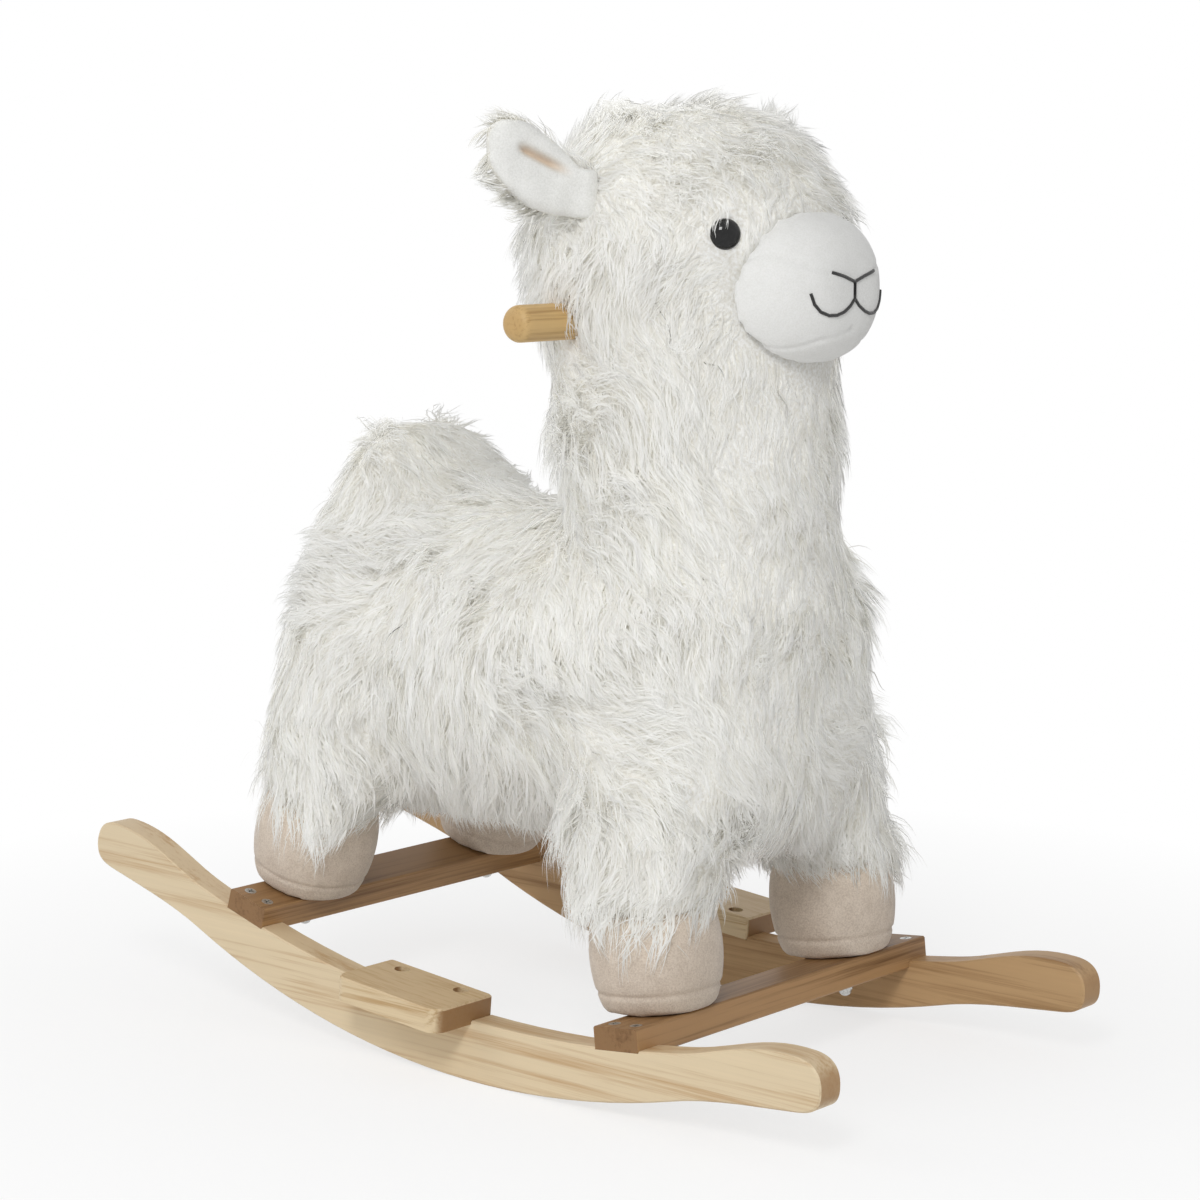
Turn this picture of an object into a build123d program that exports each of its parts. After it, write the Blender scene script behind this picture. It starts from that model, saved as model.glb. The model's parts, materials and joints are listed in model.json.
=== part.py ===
from build123d import *
import os
from math import asin, atan2, cos, degrees, hypot, radians, sin, sqrt

# Rocking toy: a stuffed alpaca on a wooden inner frame, standing on two wooden runners.
# Wooden pieces are drawn in the toy's own level frame (x forward, y left, z up, origin
# under the middle of the runners) and then rocked forward by rest_tilt.  The stuffed
# torso, neck and head are drawn in the upright frame in which the toy comes to rest.

os.makedirs("parts", exist_ok=True)

# Rest position
rest_tilt = 5.1

# Runners
track = 300.0
runner_thick = 20.0
runner_half_length = 316.0
bottom_radius = 620.0
top_radius = 840.0
mid_depth = 40.0
arc_end_x = 210.0
club_bottom_inset = 20.0
club_bottom_z = 56.0
club_bottom_slope = 0.18
club_crest_inset = 19.0
club_crest_z = 89.5
club_tip_z = 71.0
runner_edge = 1.0

# Cross slats
slat_x = 164.0
slat_width = 34.0
slat_thick = 18.0
slat_notch = 3.5
slat_seat = 1.2
slat_edge = 1.0
slat_screw_pitch = 17.0
seat_cut = 20.0
seat_fit = 0.2

# Footrests
footrest_length = 90.0
footrest_width = 53.0
footrest_thick = 15.5
footrest_seat = 1.2
footrest_outer_corner = 10.0
footrest_inner_corner = 3.0
footrest_edge = 1.2
footrest_screw_pitch = 52.0
footrest_bore = 6.0
bore_room = 1.2

# Wood screws
screw_head_r = 4.0
screw_shank_r = 1.9
screw_head_h = 2.4
screw_sides = 12
ring_sides = 16
slat_screw_length = 34.0
footrest_screw_length = 26.0
frame_screw_bite = 22.0

# Legs of the inner frame
leg_y = 91.0
front_setback = 8.0
post_side = 32.0
post_edge = 3.0
post_length = 122.0
stud_r = 3.0
stud_grip = 60.0
stud_end_room = 1.0
washer_r = 8.0
washer_thick = 1.6
nut_across = 10.0
nut_height = 6.0
nut_dome_r = 4.6
nut_bore = 9.0

# Inner seat frame, neck post and handle
beam_width = 42.0
beam_over = 16.5
beam_height = 24.0
beam_stock = 80.0
post_screw_rise = 14.0
seat_thick = 15.0
seat_width = 120.0
seat_corner = 12.0
seat_screw_inset = 20.0
seat_screw_set = 4.0
seat_screw_bite = 17.0
seat_over = 30.0
neck_post_x = 46.0
neck_post_y = 64.0
handle_x = 29.0
handle_z = 477.0
handle_r = 11.5
handle_length = 268.0
handle_round = 7.0
post_over_handle = 8.0
handle_screw_stop = 8.0

# Stuffed torso
torso_half = 98.0
rump_x = -201.0
chest_x = 201.0
hump_x = -130.0
hump_z = 397.0
saddle_z = 346.0
belly_z = 142.0
padding = 5.6
rise_padding = 10.0
slope_padding = 14.0
saddle_padding = 5.0
filling_front = 50.0
filling_corner = 0.6

# Stuffed neck, head and muzzle
neck_x = 117.0
neck_a = 97.0
neck_b = 79.0
neck_foot_z = 300.0
head_foot_z = 508.0
head_x = 99.0
head_a = 97.0
head_b = 93.0
head_top_z = 604.0
head_ear_share = 0.95
oval_round = 0.96
muzzle_z = 496.0
muzzle_root_x = 141.0
muzzle_tip_x = 228.0
muzzle_half = 58.0
muzzle_rise = 52.0

# Ears
ear_x = 92.0
ear_z = 553.0
ear_length = 56.0
ear_back = 28.0
ear_half = 26.0
ear_thick = 20.0
ear_root_r = 9.0
ear_root_half = 15.0
ear_out = 3.2
ear_lift = 30.0

# Eyes
eye_r = 9.5
eye_angle = 38.0
eye_z = 529.5
eye_seat = 1.0
eye_proud = 4.5
eye_rim = 2.0
eye_stem_r = 2.6
eye_stem = 15.0
eye_stem_end = 2.0
eye_washer_r = 8.5
eye_washer_thick = 2.0
eye_pocket_sides = 24

# Hooves and legs
hoof_height = 62.0
hoof_r = 40.5
leg_a = 53.0
leg_b = 41.0
leg_reach = 205.0
leg_lean = 25.0
leg_rake = 13.0
hoof_set = 5.0

# Fits
wood_fit = 0.1
soft_fit = 0.4
swing_fit = 0.5


def save(name, shape):
    export_step(shape, "parts/" + name + ".step")


def group(solids):
    return Compound(children=list(solids))


def oval(a, b, share=oval_round):
    return RectangleRounded(2 * a, 2 * b, share * min(a, b))


def rested(shape):
    turn = Pos(bottom_radius * sin(radians(rest_tilt)), 0, bottom_radius) * Rot(0, rest_tilt, 0)
    return turn * Pos(0, 0, -bottom_radius) * shape


def arc_top(x):
    return mid_depth + top_radius - sqrt(top_radius ** 2 - x ** 2)


def arc_bottom(x):
    return bottom_radius - sqrt(bottom_radius ** 2 - x ** 2)


def prism(r, height, sides=screw_sides):
    """Small round piece drawn with flats, standing on z = 0."""
    return extrude(RegularPolygon(r, sides), height)


def screw(length, fit=0.0, countersunk=False):
    """Wood screw pointing down with the top of its head at z = 0; fit widens it into its hole."""
    r = screw_head_r + fit
    s = screw_shank_r + fit
    head = Pos(0, 0, -screw_head_h) * prism(r, screw_head_h)
    if countersunk:
        lean = degrees(atan2(r - s, screw_head_h))
        head = extrude(RegularPolygon(r, screw_sides), -screw_head_h, taper=lean)
    return head + Pos(0, 0, -length) * prism(s, length - screw_head_h)


# Slat frames: origin on the middle of the slat's seat on the runners, z along its normal
slat_lean = degrees(asin(slat_x / top_radius))


def slat_frame(side):
    lean = radians(slat_lean)
    x = slat_x + slat_seat * sin(lean)
    z = arc_top(slat_x) - slat_seat * cos(lean)
    return Pos(side * x, 0, z) * Rot(0, -side * slat_lean, 0)


slat_top = slat_thick - slat_notch


def leg_frame(side, hand):
    back = front_setback if side > 0 else 0.0
    return slat_frame(side) * Pos(-back, hand * leg_y, slat_top)


# Runners
def runner(hand):
    sb = arc_end_x / bottom_radius
    st = arc_end_x / top_radius
    b0 = (arc_end_x, arc_bottom(arc_end_x))
    t0 = (arc_end_x, arc_top(arc_end_x))
    low = (runner_half_length - club_bottom_inset, club_bottom_z)
    tip = (runner_half_length, club_tip_z)
    crest = (runner_half_length - club_crest_inset, club_crest_z)
    half = arc_end_x / 2
    lines = [
        ThreePointArc((0, 0), (half, arc_bottom(half)), b0),
        Spline(b0, low, tangents=[(sqrt(1 - sb ** 2), sb), (1, club_bottom_slope)]),
        Spline(low, tip, tangents=[(1, club_bottom_slope), (0, 1)]),
        Spline(tip, crest, tangents=[(0, 1), (-1, 0)]),
        Spline(crest, t0, tangents=[(-1, 0), (-sqrt(1 - st ** 2), -st)]),
        ThreePointArc(t0, (half, arc_top(half)), (0, mid_depth)),
        Line((0, mid_depth), (0, 0)),
    ]
    half_face = make_face(lines)
    blank = extrude(half_face, runner_thick)
    blank = blank + mirror(blank, Plane.YZ)
    blank = Rot(90, 0, 0) * Pos(0, 0, -runner_thick / 2) * blank
    rim = [e for e in blank.edges() if abs(abs(e.center().Y) - runner_thick / 2) < 0.01]
    blank = chamfer(rim, runner_edge)
    y = hand * (track - runner_thick) / 2
    blank = Pos(0, y, 0) * blank
    for side in (1, -1):
        cut = Pos(0, 0, seat_cut / 2) * Box(slat_width + 2 * seat_fit, 2 * track, seat_cut)
        cut = slat_frame(side) * cut
        blank = blank - cut
        for dx in (-0.5, 0.5):
            place = slat_frame(side) * Pos(dx * slat_screw_pitch, y, slat_top)
            blank = blank - place * screw(slat_screw_length, wood_fit, True)
    seat = mid_depth - footrest_seat
    cut = Box(footrest_length + 2 * seat_fit, 2 * runner_thick, seat_cut)
    blank = blank - Pos(0, y, seat + seat_cut / 2) * cut
    for dx in (-0.5, 0.5):
        place = Pos(dx * footrest_screw_pitch, y, seat + footrest_thick - footrest_bore)
        blank = blank - place * screw(footrest_screw_length, wood_fit)
    return blank


# Cross slats with notched ends
def slat(side):
    body = Pos(0, 0, slat_thick / 2 - slat_notch) * Box(slat_width, track, slat_thick)
    long_edges = body.edges().filter_by(Axis.Y)
    body = chamfer(long_edges, slat_edge)
    notch_length = runner_thick + wood_fit
    for hand in (1, -1):
        y = hand * (track - notch_length) / 2
        body = body - Pos(0, y, -slat_notch / 2) * Box(slat_width + 2, notch_length, slat_notch)
        for dx in (-0.5, 0.5):
            place = Pos(dx * slat_screw_pitch, hand * (track - runner_thick) / 2, slat_top)
            body = body - place * screw(slat_screw_length, wood_fit, True)
        back = front_setback if side > 0 else 0.0
        hole = prism(stud_r + wood_fit, 4 * slat_thick)
        body = body - Pos(-back, hand * leg_y, -2 * slat_thick) * hole
    return slat_frame(side) * body


# Footrests
def footrest(hand):
    plan = Rectangle(footrest_length, footrest_width)
    plan = fillet(plan.vertices().group_by(Axis.Y)[-1], footrest_outer_corner)
    plan = fillet(plan.vertices().group_by(Axis.Y)[0], footrest_inner_corner)
    board = extrude(plan, footrest_thick)
    board = chamfer(board.faces().sort_by(Axis.Z)[-1].edges(), footrest_edge)
    y = runner_thick / 2 - footrest_width / 2
    for dx in (-0.5, 0.5):
        x = dx * footrest_screw_pitch
        bore = prism(screw_head_r + bore_room, 2 * footrest_bore, ring_sides)
        board = board - Pos(x, y, footrest_thick - footrest_bore) * bore
        hole = Pos(x, y, footrest_thick - footrest_bore) * screw(footrest_screw_length, wood_fit)
        board = board - hole
    inner_face = track / 2 - runner_thick
    board = Pos(0, inner_face + footrest_width / 2, mid_depth - footrest_seat) * board
    if hand < 0:
        board = mirror(board, Plane.XZ)
    return board


# Fasteners under the hooves
def stud():
    low = slat_thick + washer_thick + nut_bore - stud_end_room / 2
    return Pos(0, 0, -low) * prism(stud_r, stud_grip + low)


def washer():
    ring = prism(washer_r, washer_thick, ring_sides) - prism(stud_r + wood_fit, washer_thick)
    return Pos(0, 0, -slat_thick - washer_thick) * ring


def dome_nut():
    body = extrude(RegularPolygon(nut_across / 2, 6, major_radius=False), -nut_height)
    rows = [(0.0, 1.0), (0.6, 0.84), (0.9, 0.5), (1.0, 0.2)]
    for (low, wide), (high, narrow) in zip(rows, rows[1:]):
        base = Pos(0, 0, -nut_height - low * nut_dome_r) * RegularPolygon(nut_dome_r * wide, screw_sides)
        tip = Pos(0, 0, -nut_height - high * nut_dome_r) * RegularPolygon(nut_dome_r * narrow, screw_sides)
        body = body + loft([base, tip], ruled=True)
    body = body - Pos(0, 0, -nut_bore) * prism(stud_r + wood_fit / 2, nut_bore)
    return Pos(0, 0, -slat_thick - washer_thick) * body


# Inner frame
post_screw_length = post_screw_rise + frame_screw_bite
seat_screw_length = seat_thick + seat_screw_bite
neck_screw_length = seat_thick + frame_screw_bite
handle_screw_length = neck_post_x - handle_screw_stop


def post_drive():
    return Pos(0, 0, post_length + post_screw_rise)


def post(grow=0.0):
    side = post_side + 2 * grow
    shape = Pos(0, 0, post_length / 2) * Box(side, side, post_length + 2 * grow)
    if grow:
        return shape
    shape = chamfer(shape.edges().filter_by(Axis.Z), post_edge)
    shape = shape - prism(stud_r + wood_fit, stud_grip + stud_end_room)
    return shape - post_drive() * screw(post_screw_length, wood_fit)


def beam_frame(side):
    back = front_setback if side > 0 else 0.0
    return slat_frame(side) * Pos(-back, 0, slat_top + post_length)


seat_under = beam_frame(-1).position.Z + beam_height
seat_front = beam_frame(1).position.X + seat_over
seat_rear = beam_frame(-1).position.X - seat_over


def beam(side, grow=0.0):
    long = 2 * (leg_y + beam_over)
    bar = Box(beam_width + 2 * grow, long + 2 * grow, beam_stock)
    bar = beam_frame(side) * Pos(0, 0, beam_stock / 2 - grow) * bar
    waste = Box(3 * track, 3 * track, 2 * beam_stock)
    bar = bar - Pos(0, 0, seat_under + beam_stock) * waste
    if grow:
        return bar
    for hand in (1, -1):
        place = leg_frame(side, hand) * post_drive()
        bar = bar - place * screw(post_screw_length, wood_fit)
        bar = bar - place * prism(screw_head_r + bore_room, 2 * beam_height)
        bar = bar - seat_screw_place(side, hand) * screw(seat_screw_length, wood_fit)
    return bar


def seat_screw_place(side, hand):
    x = beam_frame(side).position.X - side * seat_screw_set
    return Pos(x, hand * (seat_width / 2 - seat_screw_inset), seat_under + seat_thick)


def neck_screw_place(hand):
    return Pos(handle_x, hand * neck_post_y / 4, seat_under) * Rot(180, 0, 0)


def seat(grow=0.0):
    x = (seat_front + seat_rear) / 2
    long = seat_front - seat_rear
    z = seat_under + seat_thick / 2
    board = Pos(x, 0, z) * Box(long + 2 * grow, seat_width + 2 * grow, seat_thick + 2 * grow)
    if grow:
        return board
    board = chamfer(board.edges().filter_by(Axis.Z), seat_corner)
    for side in (1, -1):
        for hand in (1, -1):
            board = board - seat_screw_place(side, hand) * screw(seat_screw_length, wood_fit)
    for hand in (1, -1):
        board = board - neck_screw_place(hand) * screw(neck_screw_length, wood_fit)
    return board


def neck_post(grow=0.0):
    low = seat_under + seat_thick
    high = handle_z + handle_r + post_over_handle + grow
    shape = Box(neck_post_x + 2 * grow, neck_post_y + 2 * grow, high - low)
    shape = Pos(handle_x, 0, (low + high) / 2) * shape
    if grow:
        return shape
    shape = chamfer(shape.edges().filter_by(Axis.Z), post_edge)
    bore = Rot(90, 0, 0) * Cylinder(handle_r + wood_fit, 2 * neck_post_y)
    shape = shape - Pos(handle_x, 0, handle_z) * bore
    for hand in (1, -1):
        shape = shape - neck_screw_place(hand) * screw(neck_screw_length, wood_fit)
    return shape - handle_screw_place() * screw(handle_screw_length, wood_fit)


def handle_screw_place():
    return Pos(handle_x - neck_post_x / 2, 0, handle_z) * Rot(0, -90, 0)


def handle(grow=0.0):
    if grow:
        return Pos(handle_x, 0, handle_z) * Rot(90, 0, 0) * Cylinder(handle_r + grow, handle_length)
    rod = Cylinder(handle_r, handle_length)
    rod = fillet(rod.edges().filter_by(GeomType.CIRCLE), handle_round)
    rod = Pos(handle_x, 0, handle_z) * Rot(90, 0, 0) * rod
    return rod - handle_screw_place() * screw(handle_screw_length, wood_fit)


# Stuffed forms: rows of the torso give place along x, share of the width, top and bottom
torso_span = chest_x - rump_x
hump_drop = hump_z - saddle_z
torso_rows = [
    (rump_x, 0.42, hump_z - 140, belly_z + 46),
    (rump_x + 0.025 * torso_span, 0.66, hump_z - 108, belly_z + 26),
    (rump_x + 0.075 * torso_span, 0.84, hump_z - 66, belly_z + 8),
    (hump_x, 0.86, hump_z, belly_z),
    (hump_x + 0.08 * torso_span, 0.92, hump_z - 0.8 * hump_drop, belly_z),
    (hump_x + 0.2 * torso_span, 0.98, saddle_z, belly_z),
    (chest_x - 0.26 * torso_span, 1.0, saddle_z, belly_z),
    (chest_x - 0.075 * torso_span, 0.9, saddle_z - 6, belly_z + 8),
    (chest_x - 0.022 * torso_span, 0.72, saddle_z - 26, belly_z + 26),
    (chest_x, 0.5, saddle_z - 56, belly_z + 52),
]


def torso_plane(x, high, low):
    return Plane((x, 0, (high + low) / 2), x_dir=(0, 1, 0), z_dir=(1, 0, 0))


def torso():
    faces = []
    for x, share, high, low in torso_rows:
        faces.append(torso_plane(x, high, low) * oval(torso_half * share, (high - low) / 2, 0.86))
    return loft(faces)


def loose_filling():
    """Room inside the padded walls that only loose filling takes up."""
    first, rise, hump, slope, last = torso_rows[1:6]
    first = (first[0] + padding / 2, *first[1:])
    rise = (rise[0], rise[1], rise[2] - rise_padding, rise[3])
    slope = (slope[0], slope[1], slope[2] - slope_padding, slope[3])
    last = (last[0], last[1], last[2] - saddle_padding, last[3])
    end = (filling_front, last[1], last[2], last[3] + saddle_padding)
    rows = [first, rise, hump, slope, last, end]
    faces = []
    for x, share, high, low in rows:
        half = torso_half * share - padding
        section = Rectangle(2 * half, high - low - 2 * padding)
        section = chamfer(section.vertices(), filling_corner * half)
        faces.append(torso_plane(x, high, low) * section)
    return loft(faces, ruled=True)


def neck():
    rows = [
        (neck_foot_z, 0.9, 1.02),
        (0.62 * neck_foot_z + 0.38 * head_foot_z, 0.91, 0.94),
        (0.3 * neck_foot_z + 0.7 * head_foot_z, 0.96, 0.99),
        (head_foot_z, head_a / neck_a, head_b / neck_b),
    ]
    faces = []
    for z, wide, deep in rows:
        share = (z - neck_foot_z) / (head_foot_z - neck_foot_z)
        x = neck_x + share * (head_x - neck_x)
        faces.append(Pos(x, 0, z) * oval(neck_a * wide, neck_b * deep))
    return loft(faces)


def head():
    rise = head_top_z - head_foot_z
    rows = [
        (head_foot_z, 1.0),
        (ear_z, head_ear_share),
        (head_foot_z + 0.76 * rise, 0.75),
        (head_foot_z + 0.9 * rise, 0.58),
        (head_top_z, 0.36),
    ]
    return loft([Pos(head_x, 0, z) * oval(head_a * k, head_b * k) for z, k in rows])


def muzzle():
    reach = muzzle_tip_x - muzzle_root_x
    rows = [(0.0, 1.0, 1.0), (0.5, 0.98, 0.98), (0.8, 0.8, 0.82), (0.95, 0.55, 0.58), (1.0, 0.34, 0.36)]
    faces = []
    for k, wide, high in rows:
        plane = Plane((muzzle_root_x + k * reach, 0, muzzle_z), x_dir=(0, 1, 0), z_dir=(1, 0, 0))
        faces.append(plane * oval(muzzle_half * wide, muzzle_rise * high))
    return loft(faces)


ear_root_y = head_ear_share * head_b + ear_out


def ear_hinge(hand, grow=0.0):
    bar = prism(ear_root_r + grow, 2 * (ear_root_half + grow), ring_sides)
    return Pos(ear_x, hand * ear_root_y, ear_z - ear_root_half - grow) * bar


def ear(hand):
    lean = atan2(ear_back, ear_length)
    reach = hypot(ear_back, ear_length)
    rows = [(0.0, 0.5, 0.56), (0.3, 0.86, 0.9), (0.6, 1.0, 1.0), (0.85, 0.78, 0.8), (1.0, 0.4, 0.5)]
    out = Vector(-sin(lean), -cos(lean), 0)
    across = Vector(cos(lean), -sin(lean), 0)
    root = Vector(ear_x, -ear_root_y, ear_z)
    faces = []
    for k, wide, thick in rows:
        plane = Plane(root + out * (k * reach) + Vector(0, 0, ear_lift * k), x_dir=across, z_dir=out)
        faces.append(plane * oval(ear_thick / 2 * thick, ear_half * wide, 0.9))
    leaf = loft(faces, ruled=True) + ear_hinge(-1)
    if hand > 0:
        leaf = mirror(leaf, Plane.XZ)
    return leaf


def eye_frame(hand):
    turn = radians(eye_angle)
    round_r = oval_round * min(head_a, head_b)
    reach = round_r - eye_seat
    x = head_x + head_a - round_r + reach * cos(turn)
    y = hand * (head_b - round_r + reach * sin(turn))
    return Plane((x, y, eye_z), x_dir=(0, 0, 1), z_dir=(cos(turn), hand * sin(turn), 0)).location


def eye():
    ball_r = (eye_r ** 2 + eye_proud ** 2) / (2 * eye_proud)
    core = Pos(0, 0, 2 * eye_r) * Cylinder(eye_r, 4 * eye_r)
    cap = Pos(0, 0, eye_proud - ball_r) * Sphere(ball_r) & core
    rim = Pos(0, 0, -eye_rim / 2) * Cylinder(eye_r, eye_rim)
    return cap + rim + Pos(0, 0, -eye_stem) * prism(eye_stem_r, eye_stem)


def eye_washer():
    ring = prism(eye_washer_r, eye_washer_thick, ring_sides)
    ring = ring - prism(eye_stem_r + wood_fit, eye_washer_thick)
    return Pos(0, 0, eye_stem_end - eye_stem) * ring


def eye_pocket():
    corner_r = eye_r / cos(radians(180 / eye_pocket_sides)) + wood_fit
    pocket = Pos(0, 0, -eye_rim - wood_fit) * prism(corner_r, 3 * eye_r, eye_pocket_sides)
    stem = prism(eye_stem_r + wood_fit, eye_stem)
    ring = prism(eye_washer_r + wood_fit, eye_washer_thick + 2 * wood_fit, ring_sides)
    pocket = pocket + Pos(0, 0, -eye_stem - wood_fit) * stem
    return pocket + Pos(0, 0, eye_stem_end - eye_stem - wood_fit) * ring


def hoof():
    rows = [(0.0, 0.84), (0.4, 1.0), (1.0, 0.92)]
    faces = [Pos(-hoof_set, 0, k * hoof_height) * oval(hoof_r * r, hoof_r * r) for k, r in rows]
    return loft(faces)


def leg(hand):
    rows = [(0.0, 0.78, 0.88, 0.0), (0.35, 0.96, 0.95, 0.5), (1.0, 0.9, 0.76, 1.0)]
    faces = []
    for k, a, b, lean in rows:
        z = hoof_height + k * (leg_reach - hoof_height)
        x = -hoof_set - leg_rake * lean
        faces.append(Pos(x, -hand * leg_lean * lean, z) * oval(leg_a * a, leg_b * b))
    return loft(faces)


# Runners set the middle of the length
runner_right = rested(runner(-1))
runner_left = rested(runner(1))
box = runner_right.bounding_box()
shift = Pos(-(box.min.X + box.max.X) / 2, 0, -box.min.Z)
sides = {"front": 1, "rear": -1}
hands = {"right": -1, "left": 1}
places = [leg_frame(side, hand) for side in (1, -1) for hand in (-1, 1)]

save("rocker_right", shift * runner_right)
save("rocker_left", shift * runner_left)
for name, side in sides.items():
    save(name + "_slat", shift * rested(slat(side)))
    save(name + "_crossbeam", shift * rested(beam(side)))
for name, hand in hands.items():
    save("footrest_" + name, shift * rested(footrest(hand)))

slat_screw_set = []
for side in (1, -1):
    for hand in (1, -1):
        for dx in (-0.5, 0.5):
            y = hand * (track - runner_thick) / 2
            at = slat_frame(side) * Pos(dx * slat_screw_pitch, y, slat_top)
            slat_screw_set.append(at * screw(slat_screw_length, 0.0, True))
save("slat_screws", group([shift * rested(piece) for piece in slat_screw_set]))

footrest_screw_set = []
for hand in (1, -1):
    for dx in (-0.5, 0.5):
        y = hand * (track - runner_thick) / 2
        z = mid_depth - footrest_seat + footrest_thick - footrest_bore
        at = Pos(dx * footrest_screw_pitch, y, z)
        footrest_screw_set.append(at * screw(footrest_screw_length))
save("footrest_screws", group([shift * rested(piece) for piece in footrest_screw_set]))

save("leg_studs", group([shift * rested(at * stud()) for at in places]))
save("stud_washers", group([shift * rested(at * washer()) for at in places]))
save("dome_nuts", group([shift * rested(at * dome_nut()) for at in places]))

post_set = [at * post_drive() * screw(post_screw_length) for at in places]
save("post_screws", group([shift * rested(piece) for piece in post_set]))
save("seat_board", shift * rested(seat()))
seat_set = [seat_screw_place(s, h) * screw(seat_screw_length) for s in (1, -1) for h in (1, -1)]
save("seat_screws", group([shift * rested(piece) for piece in seat_set]))
save("neck_post", shift * rested(neck_post()))
neck_set = [neck_screw_place(h) * screw(neck_screw_length) for h in (1, -1)]
save("neck_screws", group([shift * rested(piece) for piece in neck_set]))
save("handle_dowel", shift * rested(handle()))
save("handle_screw", shift * rested(handle_screw_place() * screw(handle_screw_length)))

# Pockets that the wooden frame takes in the stuffing
frame_pockets = [seat(soft_fit), neck_post(soft_fit), beam(1, soft_fit), beam(-1, soft_fit)]
frame_pockets += [at * post(soft_fit) for at in places]

torso_whole = torso()
neck_solid = neck() - torso_whole
head_solid = head()
muzzle_solid = muzzle() - head_solid - neck_solid

torso_solid = torso_whole - loose_filling()
for piece in frame_pockets:
    torso_solid = torso_solid - rested(piece)
bar_pocket = rested(handle(soft_fit))
post_pocket = rested(neck_post(soft_fit))
save("torso", shift * torso_solid)
save("neck", shift * (neck_solid - post_pocket - bar_pocket))

eyes = {name: eye_frame(hand) for name, hand in hands.items()}
for name, hand in hands.items():
    at = eyes[name]
    head_solid = head_solid - ear_hinge(hand, swing_fit) - at * eye_pocket()
    save("eye_" + name, shift * at * eye())
    save("ear_" + name, shift * ear(hand))
save("eye_washers", group([shift * at * eye_washer() for at in eyes.values()]))
save("head", shift * (head_solid - post_pocket))
save("muzzle", shift * muzzle_solid)

for (end, side) in sides.items():
    for (name, hand) in hands.items():
        at = leg_frame(side, hand)
        hole = rested(at * post(soft_fit))
        save("hoof_" + end + "_" + name, shift * (rested(at * hoof()) - hole))
        limb = rested(at * leg(hand)) - torso_whole - hole
        limb = limb - rested(beam(side, soft_fit))
        save("leg_" + end + "_" + name, shift * limb)
        save("leg_post_" + end + "_" + name, shift * rested(at * post()))
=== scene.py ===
import json
from math import cos, pi, radians, sin

import bpy
import numpy as np
from mathutils import Matrix, Vector
from mathutils.bvhtree import BVHTree


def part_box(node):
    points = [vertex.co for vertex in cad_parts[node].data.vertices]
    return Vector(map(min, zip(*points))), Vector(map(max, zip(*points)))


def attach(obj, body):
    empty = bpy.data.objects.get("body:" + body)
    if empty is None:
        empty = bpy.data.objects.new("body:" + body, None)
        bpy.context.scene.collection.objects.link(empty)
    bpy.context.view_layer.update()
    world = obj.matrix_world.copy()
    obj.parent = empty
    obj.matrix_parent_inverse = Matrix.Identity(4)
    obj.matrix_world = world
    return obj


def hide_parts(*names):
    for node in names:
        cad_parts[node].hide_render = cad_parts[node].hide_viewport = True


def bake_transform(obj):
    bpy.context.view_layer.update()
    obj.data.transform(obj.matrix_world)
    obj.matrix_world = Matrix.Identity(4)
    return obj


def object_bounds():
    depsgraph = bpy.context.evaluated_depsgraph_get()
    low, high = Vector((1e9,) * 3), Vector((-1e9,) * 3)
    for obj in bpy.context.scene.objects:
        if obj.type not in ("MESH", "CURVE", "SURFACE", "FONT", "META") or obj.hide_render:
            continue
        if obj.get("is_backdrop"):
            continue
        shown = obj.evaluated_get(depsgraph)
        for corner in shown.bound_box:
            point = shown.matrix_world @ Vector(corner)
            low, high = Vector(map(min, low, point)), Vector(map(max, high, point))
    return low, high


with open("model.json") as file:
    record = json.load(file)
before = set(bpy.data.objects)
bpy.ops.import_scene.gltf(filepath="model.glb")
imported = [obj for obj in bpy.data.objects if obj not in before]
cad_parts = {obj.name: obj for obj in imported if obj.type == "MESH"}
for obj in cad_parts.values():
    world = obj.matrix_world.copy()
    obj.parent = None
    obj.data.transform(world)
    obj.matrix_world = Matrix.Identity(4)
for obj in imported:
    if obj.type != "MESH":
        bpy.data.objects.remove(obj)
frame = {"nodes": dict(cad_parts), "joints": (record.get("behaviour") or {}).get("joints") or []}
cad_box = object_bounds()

bl_info = {
    "name": "Stuffed rocking alpaca",
    "version": (1, 0, 0),
    "blender": (4, 5, 0),
    "location": "View3D > Sidebar > Rocker",
    "description": "Dresses the wooden rocker with its stuffed body, long coat, face and finishes",
    "category": "Add Mesh",
}

# All lengths are in metres

ENDS = ("front_right", "front_left", "rear_right", "rear_left")
HANDS = {"right": -1.0, "left": 1.0}
# Upward axis of the legs on the two slats, which lean towards the middle of the toy
LEG_AXES = {"front": Vector((-0.1073, 0.0, 0.9942)), "rear": Vector((0.2817, 0.0, 0.9595))}
# Way the footrests' screws face
FOOTREST_AXIS = Vector((0.0889, 0.0, 0.996))
COAT_NODES = ("torso", "neck", "head") + tuple("leg_" + end for end in ENDS)
FRAME_NODES = ("seat_board", "neck_post", "front_crossbeam", "rear_crossbeam") + tuple(
    "leg_post_" + end for end in ENDS
)
PLATED_NODES = (
    "post_screws", "seat_screws", "neck_screws", "handle_screw", "leg_studs", "stud_washers", "dome_nuts",
)

# Regions of the coat. Each is one piece for its locks and one for its loose strands
REGIONS = tuple(
    part + "_" + hand
    for part in ("rump", "flank", "chest", "neck", "head", "foreleg", "hindleg")
    for hand in HANDS
)
RUMP_END, FLANK_END = -0.11, 0.02
LEG_TOP, NECK_FOOT, NECK_TOP = 0.16, 0.34, 0.5
MUZZLE_HEIGHT = 0.496

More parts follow.
